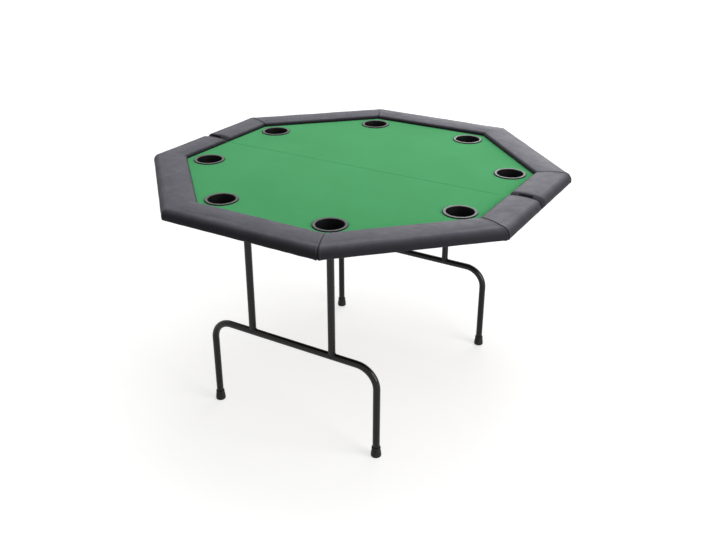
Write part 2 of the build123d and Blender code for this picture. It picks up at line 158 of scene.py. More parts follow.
def new_mesh(
    name: str, points: Array, blocks: Sequence[Array], sharp: float, values: dict[str, Array]
) -> bpy.types.Mesh:
    """A smooth-shaded mesh.

    Args:
        name: Name of the mesh.
        points: Points as rows of X, Y, Z.
        blocks: Arrays of faces, each with the same number of corners.
        sharp: Angle in degrees past which an edge stays sharp.
        values: Named numbers for each point, which the material reads.

    Returns:
        The mesh.
    """
    sizes = np.concatenate([np.full(len(block), block.shape[1]) for block in blocks])
    corners = np.concatenate([block.ravel() for block in blocks])
    mesh = bpy.data.meshes.new(name)
    mesh.vertices.add(len(points))
    mesh.vertices.foreach_set("co", points.astype(np.float32).ravel())
    mesh.loops.add(len(corners))
    mesh.loops.foreach_set("vertex_index", corners.astype(np.int32))
    mesh.polygons.add(len(sizes))
    mesh.polygons.foreach_set("loop_start", np.concatenate([[0], np.cumsum(sizes)[:-1]]).astype(np.int32))
    mesh.update(calc_edges=True)
    mesh.validate()
    mesh.polygons.foreach_set("use_smooth", np.ones(len(mesh.polygons), dtype=bool))
    mesh.set_sharp_from_angle(angle=math.radians(sharp))
    for key, numbers in values.items():
        attribute = mesh.attributes.new(key, "FLOAT", "POINT")
        attribute.data.foreach_set("value", numbers.astype(np.float32).ravel())
    return mesh


def held(values: Array) -> Array:
    """The values, held between 0 and 1."""
    return np.clip(values, 0.0, 1.0)


def bell(away: Array, width: float) -> Array:
    """1 at zero, fading as exp(-(away / width)^2)."""
    return np.exp(-((away / width) ** 2))


def arc(centre: Pair, radius: float, start: float, end: float, count: int) -> Array:
    """Points on a circle, centre plus radius times cosine and sine of evenly spaced angles in degrees."""
    angle = np.radians(np.linspace(start, end, count))
    return np.stack([centre[0] + radius * np.cos(angle), centre[1] + radius * np.sin(angle)], axis=-1)


def line(start: Pair, end: Pair, count: int) -> Array:
    """Evenly spaced points from start to end, both kept."""
    return np.linspace(start, end, count)


def closed_rings(rings: Array, low: Triple, high: Triple) -> Surface:
    """Rings of points, closed at each end by a fan of triangles from a pole.

    Args:
        rings: Points by ring and by place round it.
        low: The pole inside the first ring.
        high: The pole inside the last ring.

    Returns:
        Points and face blocks of the closed surface.
    """
    rows, count = rings.shape[:2]
    points = np.concatenate([rings.reshape(-1, 3), [low, high]])
    first = np.arange(count)
    last = first + (rows - 1) * count
    fans = [np.stack([np.full(count, len(points) - 2), np.roll(first, -1), first], axis=-1),
            np.stack([np.full(count, len(points) - 1), last, np.roll(last, -1)], axis=-1)]
    return points, [grid_quads(rows, count, wrap_columns=True), np.concatenate(fans)]


def revolved(profile: Array, centre: Pair, count: int) -> Surface:
    """Surface of revolution of a radius and height profile about an upright axis.

    A point is centre plus radius times cosine and sine of the angle, at the profile's height. The profile's
    first and last points lie on the axis and are the poles.

    Args:
        profile: Rows of radius and height, from one pole to the other.
        centre: X and Y of the axis.
        count: Number of points round the axis.

    Returns:
        Points and face blocks of the closed surface.
    """
    angle = np.linspace(0.0, CIRCLE, count, endpoint=False)
    ring = profile[1:-1]
    x = centre[0] + ring[:, :1] * np.cos(angle)
    y = centre[1] + ring[:, :1] * np.sin(angle)
    rings = np.stack([x, y, np.broadcast_to(ring[:, 1:], x.shape)], axis=-1)
    return closed_rings(rings, (*centre, profile[0, 1]), (*centre, profile[-1, 1]))


def closed_tube(path: Array, radius: Array, sides: int) -> Surface:
    """A round bead carried along a closed path.

    Each ring is the path's point plus radius times cosine and sine of the angle along two directions square
    to the path, the first of which is the least change from the path's outward direction.

    Args:
        path: Points of the closed path.
        radius: The bead's radius at each point.
        sides: Number of points round the bead.

    Returns:
        Points and face blocks.
    """
    along = np.roll(path, -1, axis=0) - np.roll(path, 1, axis=0)
    along /= np.linalg.norm(along, axis=1, keepdims=True)
    out = path - path.mean(axis=0)
    out -= np.einsum("ij,ij->i", out, along)[:, None] * along
    out /= np.linalg.norm(out, axis=1, keepdims=True)
    side = np.cross(along, out)
    angle = np.linspace(0.0, CIRCLE, sides, endpoint=False)
    wave = np.cos(angle)[None, :, None] * out[:, None] + np.sin(angle)[None, :, None] * side[:, None]
    points = path[:, None] + radius[:, None, None] * wave
    return points.reshape(-1, 3), [grid_quads(len(path), sides, wrap_rows=True, wrap_columns=True)]


def oriented(points: Array, blocks: Sequence[Array]) -> list[Array]:
    """The face blocks of a closed surface, turned outwards."""
    outward = signed_volume(points - points.mean(axis=0), blocks) > 0
    return [block if outward else block[:, ::-1] for block in blocks]


def merged(parts: Sequence[Surface]) -> Surface:
    """Several closed surfaces as one, each turned outwards.

    Args:
        parts: Points and face blocks of each surface.

    Returns:
        Points and face blocks of them all.
    """
    points, blocks, first = [], [], 0
    for part_points, part_blocks in parts:
        blocks += [block + first for block in oriented(part_points, part_blocks)]
        points.append(part_points)
        first += len(part_points)
    return np.concatenate(points), blocks


# Finishes


class Nodes:
    """Shorthand for a node tree."""

    def __init__(self, tree: bpy.types.NodeTree) -> None:
        """Start on a tree and keep the nodes that it has."""
        self.tree = tree

    def node(self, kind: str, inputs: dict[Any, Any] | None = None, **settings: Any) -> bpy.types.Node:
        """Add a node.

        Args:
            kind: Type of the node.
            inputs: Values or sockets for its inputs, by name or number.
            settings: Properties of the node.

        Returns:
            The node.
        """
        made = self.tree.nodes.new(kind)
        for key, value in settings.items():
            setattr(made, key, value)
        for key, value in (inputs or {}).items():
            if isinstance(value, Socket):
                self.tree.links.new(value, made.inputs[key])
            else:
                made.inputs[key].default_value = value
        return made

    def spread(self, value: Any, low: float, high: float, to_low: float, to_high: float) -> Socket:
        """Carry a value from one range to another, held at its ends."""
        inputs = {"Value": value, "From Min": low, "From Max": high, "To Min": to_low, "To Max": to_high}
        return self.node("ShaderNodeMapRange", inputs).outputs[0]

    def math(self, operation: str, first: Any, second: Any) -> Socket:
        """One sum of two numbers."""
        return self.node("ShaderNodeMath", {0: first, 1: second}, operation=operation).outputs[0]

    def seen(self) -> Socket:
        """1 for a ray of the camera, a reflection or a clear surface, and 0 for any other.

        Returns:
            The larger of the three.
        """
        path = self.node("ShaderNodeLightPath").outputs
        seen = self.math("MAXIMUM", path["Is Camera Ray"], path["Is Glossy Ray"])
        return self.math("MAXIMUM", seen, path["Is Transmission Ray"])


class Graph(Nodes):
    """Shorthand for the node tree of one material."""

    def __init__(self, name: str) -> None:
        """Start a material with a Principled shader on its output.

        Args:
            name: Name of the material.
        """
        self.material = bpy.data.materials.new(name)
        self.material.use_nodes = True
        super().__init__(self.material.node_tree)
        self.tree.nodes.clear()
        self.shader = self.node("ShaderNodeBsdfPrincipled")
        output = self.node("ShaderNodeOutputMaterial")
        self.tree.links.new(self.shader.outputs[0], output.inputs["Surface"])
        self.place = self.node("ShaderNodeTexCoord").outputs["Object"]

    def set(self, **inputs: Any) -> None:
        """Set or link the shader's inputs, whose names are given with underscores for spaces."""
        for key, value in inputs.items():
            socket = self.shader.inputs[key.replace("_", " ")]
            if isinstance(value, Socket):
                self.tree.links.new(value, socket)
            else:
                socket.default_value = value

    def stretched(self, factors: Triple) -> Socket:
        """Object coordinates times a factor along each axis."""
        return self.node("ShaderNodeMapping", {"Vector": self.place, "Scale": factors}).outputs[0]

    def noise(
        self, scale: float, detail: float = 3.0, roughness: float = 0.55, place: Any = None
    ) -> Socket:
        """Noise from 0 to 1 with the given cells to the metre."""
        inputs = {"Vector": place or self.place, "Scale": scale, "Detail": detail, "Roughness": roughness}
        return self.node("ShaderNodeTexNoise", inputs).outputs[0]

    def cells(self, scale: float, smooth: float = 0.6) -> Socket:
        """Distance to the nearest of scattered points, for grain."""
        inputs = {"Vector": self.place, "Scale": scale, "Smoothness": smooth}
        return self.node("ShaderNodeTexVoronoi", inputs, feature="SMOOTH_F1").outputs["Distance"]

    def blend(self, share: Any, first: Any, second: Any) -> Socket:
        """A colour between two colours."""
        first, second = (c if isinstance(c, Socket) else (*c, 1.0) for c in (first, second))
        return self.node("ShaderNodeMix", {0: share, 6: first, 7: second}, data_type="RGBA").outputs[2]

    def bump(self, height: Any, distance: float, strength: float = 1.0, under: Any = None) -> Socket:
        """Normal from a height.

        Args:
            height: Height in shares of the distance.
            distance: Full height in metres.
            strength: Share of the effect.
            under: An earlier normal that this one lies over.

        Returns:
            The normal.
        """
        inputs = {"Height": height, "Distance": distance, "Strength": strength}
        if under is not None:
            inputs["Normal"] = under
        return self.node("ShaderNodeBump", inputs).outputs[0]

    def attribute(self, name: str) -> Socket:
        """A number that the mesh holds for each point."""
        return self.node("ShaderNodeAttribute", attribute_name=name).outputs["Fac"]


@dataclass(frozen=True)
class FauxLeather:
    """Satin charcoal cover of the rail: pebbled grain, a bluish top painted lighter and sides painted darker
    as lit from above, soft dark seams and painted shade at the foot of the inner wall.
    """

    # The first colour is the sides' tone, painted darker as shaded; the next two are the top's painted lit
    # tones, mottled at random between them. The seam colour is for the dark seams and for the painted shade
    # at the foot of the inner wall.
    colour: Triple = (0.023, 0.023, 0.028)
    lit_top: Triple = (0.079, 0.077, 0.096)
    worn_lit_top: Triple = (0.105, 0.102, 0.122)
    seam_and_shade_colour: Triple = (0.002, 0.002, 0.003)
    grain_size: float = 0.0016
    grain_depth: float = 0.00022

    def make(self) -> bpy.types.Material:
        """Build the material; it reads the points' numbers named seam and top. The seam number holds the dark
        seams and the painted shade by the felt; the top number blends from the sides' painted shaded tone to
        the top's painted lit tones.

        Returns:
            The material.
        """
        g = Graph("faux_leather")
        patches = g.noise(11.0, 5.0, 0.65)
        mottle = g.noise(46.0, 4.0, 0.6)
        worn_lit_top = g.spread(g.math("ADD", patches, g.math("MULTIPLY", mottle, 0.5)), 0.62, 0.92, 0.0, 1.0)
        # Painted light: faces turned up take the lit top tones, faces turned aside the darker shaded one.
        base = g.blend(g.attribute("top"), self.colour, g.blend(worn_lit_top, self.lit_top, self.worn_lit_top))
        # Dark seams, and painted shade at the foot of the inner wall by the felt.
        base = g.blend(g.attribute("seam"), base, self.seam_and_shade_colour)
        pebbles = g.cells(1.0 / self.grain_size)
        pores = g.noise(1600.0, 2.0)
        height = g.math("ADD", g.math("MULTIPLY", pebbles, -1.0), g.math("MULTIPLY", pores, 0.35))
        soft = g.bump(mottle, 0.0012, 0.5)
        uneven = g.math("ADD", g.noise(24.0, 4.0), g.math("MULTIPLY", pebbles, 0.25))
        rough = g.spread(uneven, 0.4, 0.9, 0.44, 0.56)
        rough = g.math("ADD", rough, g.spread(g.attribute("top"), 0.0, 1.0, 0.2, 0.0))
        g.set(Base_Color=base, Roughness=rough, Normal=g.bump(height, self.grain_depth, 1.0, soft))
        g.set(Specular_IOR_Level=0.14, Specular_Tint=(0.92, 0.93, 1.0, 1.0))
        g.set(Sheen_Weight=0.06, Sheen_Roughness=0.45, Sheen_Tint=(0.85, 0.86, 1.0, 1.0))
        return g.material


@dataclass(frozen=True)
class PlayingFelt:
    """Short-napped green cloth: fine fibres, a soft sheen, slightly brushed lighter patches and painted shade
    along its edge at the fold.
    """

    colour: Triple = (0.0325, 0.357, 0.104)
    brushed: Triple = (0.041, 0.398, 0.125)
    shade: Triple = (0.019, 0.281, 0.071)

    def make(self) -> bpy.types.Material:
        """Build the material; it reads the points' number named edge, which paints shade along the cloth's
        edge at the fold.

        Returns:
            The material.
        """
        g = Graph("green_felt")
        brushing = g.spread(g.noise(5.0, 4.0), 0.35, 0.65, 0.0, 1.0)
        fibres = g.noise(1300.0, 4.0, 0.7)
        crossed = g.noise(1.0, 3.0, 0.6, g.stretched((1500.0, 420.0, 900.0)))
        base = g.blend(brushing, self.colour, self.brushed)
        base = g.blend(g.spread(fibres, 0.35, 0.75, 0.55, 0.0), base, self.shade)
        # Painted shade along the cloth's edge at the fold.
        base = g.blend(g.math("MULTIPLY", g.attribute("edge"), 0.3), base, self.shade)
        height = g.math("ADD", fibres, g.math("MULTIPLY", crossed, 0.6))
        g.set(Base_Color=base, Roughness=0.95, Normal=g.bump(height, 0.00035))
        g.set(Specular_IOR_Level=0.25, Sheen_Weight=0.25)
        g.set(Sheen_Roughness=0.5, Sheen_Tint=(0.75, 1.0, 0.8, 1.0))
        return g.material


@dataclass(frozen=True)
class PowderCoat:
    """Baked paint on steel: orange peel, small dust nibs and a slightly uneven gloss."""

    name: str
    colour: Triple
    gloss: float = 0.27
    peel_size: float = 0.0024
    peel_depth: float = 0.00003
    shine: float = 0.2

    def make(self) -> bpy.types.Material:
        """Build the material.

        Returns:
            The material.
        """
        g = Graph(self.name)
        peel = g.noise(1.0 / self.peel_size, 2.0, 0.45)
        dust = g.spread(g.noise(900.0, 1.0), 0.66, 0.74, 0.0, 1.0)
        handled = g.spread(g.noise(14.0, 4.0), 0.35, 0.7, 0.0, 1.0)
        light = tuple(min(1.0, c * 1.5 + 0.002) for c in self.colour)
        base = g.blend(g.math("MULTIPLY", handled, 0.5), self.colour, light)
        rough = g.spread(handled, 0.0, 1.0, self.gloss - 0.04, self.gloss + 0.07)
        height = g.math("ADD", peel, g.math("MULTIPLY", dust, 0.25))
        g.set(Base_Color=base, Roughness=rough, Normal=g.bump(height, self.peel_depth))
        g.set(Specular_IOR_Level=self.shine)
        return g.material


@dataclass(frozen=True)
class PlatedSteel:
    """Zinc-plated fasteners: pale grey metal with a faint yellow and blue cast and fine rubbing marks."""

    colour: Triple = (0.56, 0.56, 0.58)
    cast: Triple = (0.60, 0.56, 0.44)

    def make(self) -> bpy.types.Material:
        """Build the material.

        Returns:
            The material.
        """
        g = Graph("zinc_steel")
        tint = g.spread(g.noise(160.0, 2.0), 0.4, 0.7, 0.0, 0.6)
        marks = g.noise(1.0, 4.0, 0.7, g.stretched((2600.0, 700.0, 2600.0)))
        g.set(Base_Color=g.blend(tint, self.colour, self.cast), Metallic=1.0)
        g.set(Roughness=g.spread(marks, 0.3, 0.7, 0.28, 0.46), Normal=g.bump(marks, 0.00002))
        return g.material


@dataclass(frozen=True)
class MouldedPlastic:
    """Moulded near-black plastic: a well painted darker as shade, a dull dark roll and a lip round the mouth
    painted paler as a highlight.
    """

    colour: Triple = (0.008, 0.008, 0.009)
    well_shade: Triple = (0.0025, 0.0020, 0.0030)
    lip_highlight: Triple = (0.118, 0.124, 0.124)
    scuffed: Triple = (0.030, 0.030, 0.034)

    def make(self) -> bpy.types.Material:
        """Build the material; it reads the points' numbers named lip and well, which place the painted
        highlight and the painted shade.

        Returns:
            The material.
        """
        g = Graph("moulded_plastic")
        scuffs = g.spread(g.noise(60.0, 5.0, 0.7), 0.56, 0.72, 0.0, 1.0)
        lip_highlight_unevenness = g.spread(g.noise(130.0, 4.0, 0.6), 0.3, 0.7, 0.8, 1.0)
        outer = g.blend(g.math("MULTIPLY", scuffs, 0.5), self.colour, self.scuffed)
        # Painted shade deep in the well.
        base = g.blend(g.attribute("well"), outer, self.well_shade)
        # Painted highlight on the lip, a little uneven.
        base = g.blend(g.math("MULTIPLY", g.attribute("lip"), lip_highlight_unevenness), base, self.lip_highlight)
        rough = g.spread(g.attribute("lip"), 0.0, 1.0, 0.60, 0.26)
        rough = g.math("ADD", rough, g.spread(scuffs, 0.0, 1.0, 0.0, 0.14))
        g.set(Base_Color=base, Roughness=rough, Normal=g.bump(g.noise(2200.0, 2.0), 0.00004))
        g.set(Specular_IOR_Level=0.16)
        return g.material


@dataclass(frozen=True)
class MouldedRubber:
    """Dull black rubber with a fine bloom, dusty towards the floor."""

    colour: Triple = (0.016, 0.016, 0.016)
    dust: Triple = (0.070, 0.066, 0.060)
    dust_height: float = 0.012

    def make(self) -> bpy.types.Material:
        """Build the material; dust thins out with height above the floor.

        Returns:
            The material.
        """
        g = Graph("foot_rubber")
        height = g.node("ShaderNodeSeparateXYZ", {0: g.place}).outputs["Z"]
        low = g.spread(height, 0.0, self.dust_height, 0.55, 0.0)
        dusty = g.math("MULTIPLY", low, g.spread(g.noise(240.0, 4.0), 0.35, 0.65, 0.2, 1.0))
        g.set(Base_Color=g.blend(dusty, self.colour, self.dust))
        g.set(Roughness=g.spread(dusty, 0.0, 1.0, 0.58, 0.9), Specular_IOR_Level=0.25)
        g.set(Normal=g.bump(g.noise(1500.0, 2.0), 0.00005))
        return g.material


@dataclass(frozen=True)
class RawFibreboard:
    """Medium fibreboard: even brown with darker flecks and paler pressed fibres."""

    colour: Triple = (0.30, 0.195, 0.115)
    fleck: Triple = (0.13, 0.080, 0.045)
    pale: Triple = (0.42, 0.30, 0.19)

    def make(self) -> bpy.types.Material:
        """Build the material.

        Returns:
            The material.
        """
        g = Graph("fibreboard")
        flecks = g.spread(g.noise(520.0, 3.0, 0.7), 0.58, 0.70, 0.0, 0.8)
        strands = g.noise(1.0, 3.0, 0.6, g.stretched((180.0, 700.0, 500.0)))
        fibres = g.spread(strands, 0.45, 0.75, 0.0, 0.7)
        base = g.blend(g.noise(9.0, 3.0), self.colour, self.pale)
        base = g.blend(fibres, base, self.pale)
        base = g.blend(flecks, base, self.fleck)
        g.set(Base_Color=base, Roughness=0.82, Specular_IOR_Level=0.3)
        g.set(Normal=g.bump(g.noise(700.0, 3.0), 0.00012))
        return g.material


@dataclass(frozen=True)
class Plywood:
    """Veneered plywood: long pale grain with thin darker lines."""

    colour: Triple = (0.56, 0.40, 0.24)
    grain: Triple = (0.36, 0.23, 0.12)

    def make(self) -> bpy.types.Material:
        """Build the material.

        Returns:
            The material.
        """
        g = Graph("plywood")
        lines = g.noise(1.0, 4.0, 0.6, g.stretched((12.0, 240.0, 160.0)))
        base = g.blend(g.spread(lines, 0.45, 0.7, 0.0, 0.8), self.colour, self.grain)
        g.set(Base_Color=base, Roughness=0.7, Normal=g.bump(lines, 0.0001))
        return g.material


class Finishes:
    """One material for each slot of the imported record, made once and shared."""

    def __init__(self) -> None:
        """Make the materials."""
        self.made = {
            "rail_cover": FauxLeather().make(),
            "green_felt": PlayingFelt().make(),
            "fibreboard": RawFibreboard().make(),
            "plywood": Plywood().make(),
            "cup_plastic": MouldedPlastic().make(),
            "black_tube": PowderCoat(
                "black_tube_coat", (0.004, 0.004, 0.005), gloss=0.17, peel_depth=0.000004, shine=0.28
            ).make(),
            "black_plate_steel": PowderCoat("black_plate_coat", (0.014, 0.014, 0.015), gloss=0.4).make(),
            "black_hinge_steel": PowderCoat(
                "hinge_coat", (0.034, 0.034, 0.041), gloss=0.5, peel_size=0.0008
            ).make(),
            "zinc_steel": PlatedSteel().make(),
            "foot_rubber": MouldedRubber().make(),
        }

    def __getitem__(self, slot: str) -> bpy.types.Material:
        """The material of a slot."""
        return self.made[slot]

    def dress_nodes(self, frame: dict[str, Any]) -> int:
        """Give every CAD node the material of its own slot.


        Returns:
            The number of nodes dressed.
        """
        for node in frame["nodes"].values():
            for place in node.material_slots:
                place.material = self.made[place.material.name.split(".")[0]]
        return len(frame["nodes"])


@dataclass
class Maker:
    """Base of the classes that each build some pieces of one half of the table."""

    half: Half
    finishes: Finishes

    def piece(
        self, name: str, surface: Surface, body: str, slot: str, sharp: float, stands_for: str = "",
        closed: bool = True, values: dict[str, Array] | None = None,
    ) -> bpy.types.Object:
        """Make a piece of this half, attach it to the body that it rides on and hide the CAD node that it
        stands for.

        Args:
            name: Name of the piece, without its half.
            surface: Points of the back half and face blocks.
            body: Body that the piece rides on.
            slot: Slot of its finish.
            sharp: Angle in degrees past which an edge stays sharp.
            stands_for: CAD node that it replaces, without its half, or nothing.
            closed: Whether the faces enclose a volume, and are then turned outwards.
            values: Named numbers for each point, which the material reads.

        Returns:
            The linked object.
        """
        side = self.half.value
        points, blocks = self.half.placed(surface[0]).reshape(-1, 3), surface[1]
        if closed and signed_volume(points, blocks) < 0:
            blocks = [block[:, ::-1] for block in blocks]
        mesh = new_mesh(f"{side}_{name}", points, blocks, sharp, values or {})
        mesh.materials.append(self.finishes[slot])
        made = bpy.data.objects.new(mesh.name, mesh)
        bpy.context.scene.collection.objects.link(made)
        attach(made, body)
        if stands_for:
            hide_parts(f"{side}_{stands_for}")
        return made


# The top


def cup_centres(circle: float) -> Array:
    """Cup centres of the back half, one on the line to each corner, on a circle of the given radius."""
    angle = HALF_ANGLE * (2 * np.arange(4) + 1)
    return circle * np.stack([np.cos(angle), np.sin(angle)], axis=-1)


@dataclass
class RailCover(Maker):
    """Foam-filled cover that runs round one half of the table, with a mitred corner every 45 degrees."""

    half_width: float = 0.610
    felt_edge: float = 0.5064
    crown: float = 0.7604
    depth: float = 0.0344
    highest: float = 0.76095
    felt_top: float = 0.7455
    crown_sag: float = 0.0025
    inner_radius: float = 0.012
    outer_radius: float = 0.022
    low_radius: float = 0.006
    board_edge: float = 0.602
    board_top: float = 0.7425
    board_bottom: float = 0.7275
    wrap_lip: float = 0.027
    felt_step: float = 0.515
    gap: float = 0.0003
    end_gap: float = 0.0033
    end_rounding: float = 0.016
    side_rounding: float = 0.012
    end_power: float = 1.45
    corner_radius: float = 0.013
    seam_depth: float = 0.0019
    seam_width: float = 0.0018
    inner_corner: float = 0.002
    crease: float = 0.00009
    creases: int = 14
    crease_along: Pair = (0.035, 0.16)
    crease_across: Pair = (0.025, 0.08)
    patch_pitch: float = 0.31
    pull: float = 0.0006
    pull_pitch: Pair = (0.25, 0.45)
    pull_drift: float = 0.004
    drift_pitch: float = 0.37
    pulls: tuple[Pair, ...] = ((0.082, 0.0045), (0.096, 0.0035), (0.113, 0.0040))
    pleat: float = 0.0007
    pleat_pitch: float = 0.011
    pleat_reach: float = 0.034
    pucker: float = 0.0003
    pucker_pitch: float = 0.0105
    pucker_reach: float = 0.020
    seam_lip: float = 0.0008
    lip_place: float = 0.0052
    lip_width: float = 0.0032
    shoulder_fold: float = 0.0005
    fold_pitch: float = 0.0085
    shoulder_run: float = 0.075
    shoulder_fade: float = 0.03
    under_run: float = 0.135
    under_fade: float = 0.006
    felt_shade_run: float = 0.0125
    mean_radius: float = 0.56
    columns: int = 84

    def section(self) -> Array:
        """Closed section of the cover.

        It goes up the inner wall, round a quarter circle, over the crown as a parabola of the given sag,
        round the outer quarter circle, down the outer wall, under the board to the lip, and back round it.

        Returns:
            Rows of distance from the table's middle and height.
        """
        low, shoulder = self.crown - self.depth, self.crown - self.crown_sag
        inner, outer = self.felt_edge + self.inner_radius, self.half_width - self.outer_radius
        across = np.linspace(-1.0, 1.0, 23)[1:-1]
        crown = np.stack([(inner + outer) / 2 + across * (outer - inner) / 2,
                          shoulder + self.crown_sag * (1 - across**2)], axis=-1)
        lip, channel = self.board_edge - self.wrap_lip, self.board_edge + self.gap
        step, corner_rise = self.felt_step + self.gap, low + self.low_radius
        runs = [
            line((self.felt_edge, self.felt_top), (self.felt_edge, shoulder - self.inner_radius), 4)[:-1],
            arc((inner, shoulder - self.inner_radius), self.inner_radius, 180.0, 90.0, 9),
            crown,
            arc((outer, shoulder - self.outer_radius), self.outer_radius, 90.0, 0.0, 15),
            line((self.half_width, shoulder - self.outer_radius), (self.half_width, corner_rise), 7)[1:-1],
            arc((self.half_width - self.low_radius, corner_rise), self.low_radius, 0.0, -90.0, 7),
            line((self.half_width - self.low_radius, low), (lip, low), 9)[1:],
            np.array([(lip, self.board_bottom - self.gap), (channel, self.board_bottom - self.gap),
                      (channel, self.board_top + self.gap), (step, self.board_top + self.gap),
                      (step, self.felt_top)]),
        ]
        return np.concatenate(runs)

    def corner_kinds(self) -> list[Corner]:
        """The kind of each corner, counted in the half's own turn from the right end of the back half."""
        first = Corner.SEAM if self.half is Half.BACK else Corner.STRETCHED
        return [first, Corner.STRETCHED, Corner.SEAM, Corner.SEAM]

    def stations(self) -> Array:
        """Places along one straight side, closest together at both ends.

        Returns:
            Rising numbers from 0 to 1.
        """
        even = np.linspace(0.0, 1.0, self.columns)
        eased = 0.5 - 0.5 * np.cos(math.pi * even)
        return 0.25 * even + 0.75 * eased

    def plan(self, distance: Array) -> tuple[Array, Array, Array, Array]:
        """Carry every section point round the half octagon.

        On a straight side the point is the side's normal times its distance plus the side's direction times
        the place along it. A corner is an arc whose radius grows from the inner to the outer edge.

        Args:
            distance: Distance of each section point from the table's middle.

        Returns:
            X and Y of each column and section point, the outward directions, the distance of each from its
            nearest corner's middle, and the number of that corner.
        """
        share = held((distance - self.felt_edge) / (self.half_width - self.felt_edge))
        radius = self.inner_corner + self.corner_radius * share
        reach = (distance - radius) * math.tan(HALF_ANGLE)
        share = self.stations()[:, None]
        places, outward, away, nearest = [], [], [], []
        for side in range(5):
            turn = side * SIDE_ANGLE
            normal = np.array([math.cos(turn), math.sin(turn)])
            along = np.array([-math.sin(turn), math.cos(turn)])
            low = np.full_like(reach, self.end_gap) if side == 0 else -reach
            high = np.full_like(reach, -self.end_gap) if side == 4 else reach
            where = low + share * (high - low)
            places.append(distance[None, :, None] * normal + where[..., None] * along)
            outward.append(np.broadcast_to(normal, places[-1].shape))
            from_low = np.abs(where + reach) if side > 0 else np.full_like(where, 9.0)
            from_high = np.abs(reach - where) if side < 4 else np.full_like(where, 9.0)
            away.append(np.minimum(from_low, from_high) + radius * HALF_ANGLE)
            nearest.append(np.where(from_low < from_high, side - 1, side))
            if side == 4:
                break
            swing = turn + np.linspace(0.0, SIDE_ANGLE, 13)[1:-1]
            middle = turn + HALF_ANGLE
            heading = np.stack([np.cos(swing), np.sin(swing)], axis=-1)[:, None, :]
            hub = ((distance - radius) / math.cos(HALF_ANGLE))[None, :, None]
            hub = hub * np.array([math.cos(middle), math.sin(middle)])
            places.append(hub + radius[None, :, None] * heading)
            outward.append(np.broadcast_to(heading, places[-1].shape))
            away.append(radius[None, :] * np.abs(swing - middle)[:, None])
            nearest.append(np.full(away[-1].shape, side))
        return tuple(np.concatenate(part) for part in (places, outward, away, nearest))

    def relief(self, places: Array, away: Array, nearest: Array, run: Array, skin: Array) -> Array:
        """How far the cover stands out from its plain form.

        Faint uneven foam is a sum of sines in many directions along and across the rail. Three long shallow
        pulls, bells across the rail whose place and depth drift along it, lie by the outer shoulder. A seam
        is a bell-shaped groove with a raised lip on each side and puckers that fade away from it, a corner
        without one has a few folds over its outer shoulder, and both have pleats under the board.

        Args:
            places: X and Y of each point.
            away: Distance from the nearest corner's middle.
            nearest: Number of that corner.
            run: Length along the section.
            skin: 1 on the visible cover and 0 round the board.

        Returns:
            The height of each point over the plain form.
        """
        rng = np.random.default_rng(7 if self.half is Half.BACK else 19)
        angle = np.arctan2(places[..., 1], places[..., 0])
        along = self.mean_radius * angle
        height = np.zeros(away.shape)
        for _ in range(self.creases):
            long_wave = rng.uniform(*self.crease_along)
            cross_wave = rng.uniform(*self.crease_across) * rng.choice([-1, 1])
            phase, lean = rng.uniform(0, CIRCLE, 2)
            patch = 0.5 + 0.5 * np.sin(CIRCLE * along / self.patch_pitch + lean)
            wave = np.sin(CIRCLE * (along / long_wave + run / cross_wave) + phase)
            height += self.crease * patch * wave
        for place, width in self.pulls:
            waves, phase, drift = rng.uniform(*self.pull_pitch), *rng.uniform(0, CIRCLE, 2)
            depth = held(0.35 + np.sin(CIRCLE * along / waves + phase))
            middle = place + self.pull_drift * np.sin(CIRCLE * along / self.drift_pitch + drift)
            height -= self.pull * depth * bell(run - middle, width)
        outer = held((run - self.shoulder_run) / self.shoulder_fade)
        below = held((run - self.under_run) / self.under_fade)
        for number, kind in enumerate(self.corner_kinds()):
            here = nearest == number
            fade = bell(away, self.pucker_reach) * here
            pleats = bell(away, self.pleat_reach) * np.sin(CIRCLE * away / self.pleat_pitch)
            height += self.pleat * below * pleats * here
            if kind is Corner.SEAM:
                height += self.pucker * fade * np.sin(CIRCLE * run / self.pucker_pitch + number)
                height += self.seam_lip * bell(away - self.lip_place, self.lip_width) * here
                height -= self.seam_depth * bell(away, self.seam_width) * here
            else:
                folds = np.sin(CIRCLE * away / self.fold_pitch + number)
                height += self.shoulder_fold * outer * fade * folds
        return height * skin

    def build(self) -> list[bpy.types.Object]:
        """Build one half's cover as a grid of section points by columns, closed by a face at each end.

        Near the fold each point draws in along its section's normal by r (1 - (1 - (1 - d/r)^p)^(1/p)), where
        d is its distance from the end, so that the crown and the outer side round over. A power p under 2
        makes it more of a bevel than a quarter circle. Nothing rises past the plane where the two halves
        meet when folded.

        Returns:
            The cover, which stands for the rail's pad.
        """
        section = self.section()
        count = len(section)
        step = np.roll(section, -1, axis=0) - np.roll(section, 1, axis=0)
        normal = np.stack([-step[:, 1], step[:, 0]], axis=-1)
        normal /= np.linalg.norm(normal, axis=1, keepdims=True)
        run = np.concatenate([[0.0], np.cumsum(np.linalg.norm(np.diff(section, axis=0), axis=1))])
        number = np.arange(count)
        skin = held((count - 7 - number) / 3.0) * held(number / 3.0)
        places, outward, away, nearest = self.plan(section[:, 0])
        level = places[..., 1]
        near_fold = np.where((np.abs(outward[..., 0]) > 0.999), level - self.end_gap, 9.0)
        share = held(1.0 - near_fold / self.end_rounding)
        left = np.maximum(0.0, 1.0 - share**self.end_power)
        draw = self.end_rounding * (1.0 - left ** (1.0 / self.end_power))
        ease = np.where(normal[:, 1] > 0, normal[:, 1], 0.0) ** 2
        beside = np.where(normal[:, 0] > 0.3, self.side_rounding / self.end_rounding, 0.15)
        ease = ease + (1.0 - ease) * beside
        ease = ease * (skin > 0) * (normal[:, 1] > -0.5)
        height = self.relief(places, away, nearest, run[None, :], skin[None, :])
        height *= 1.0 - share
        offset = height - draw * ease[None, :]
        flat = places + outward * (offset * normal[:, 0])[..., None]
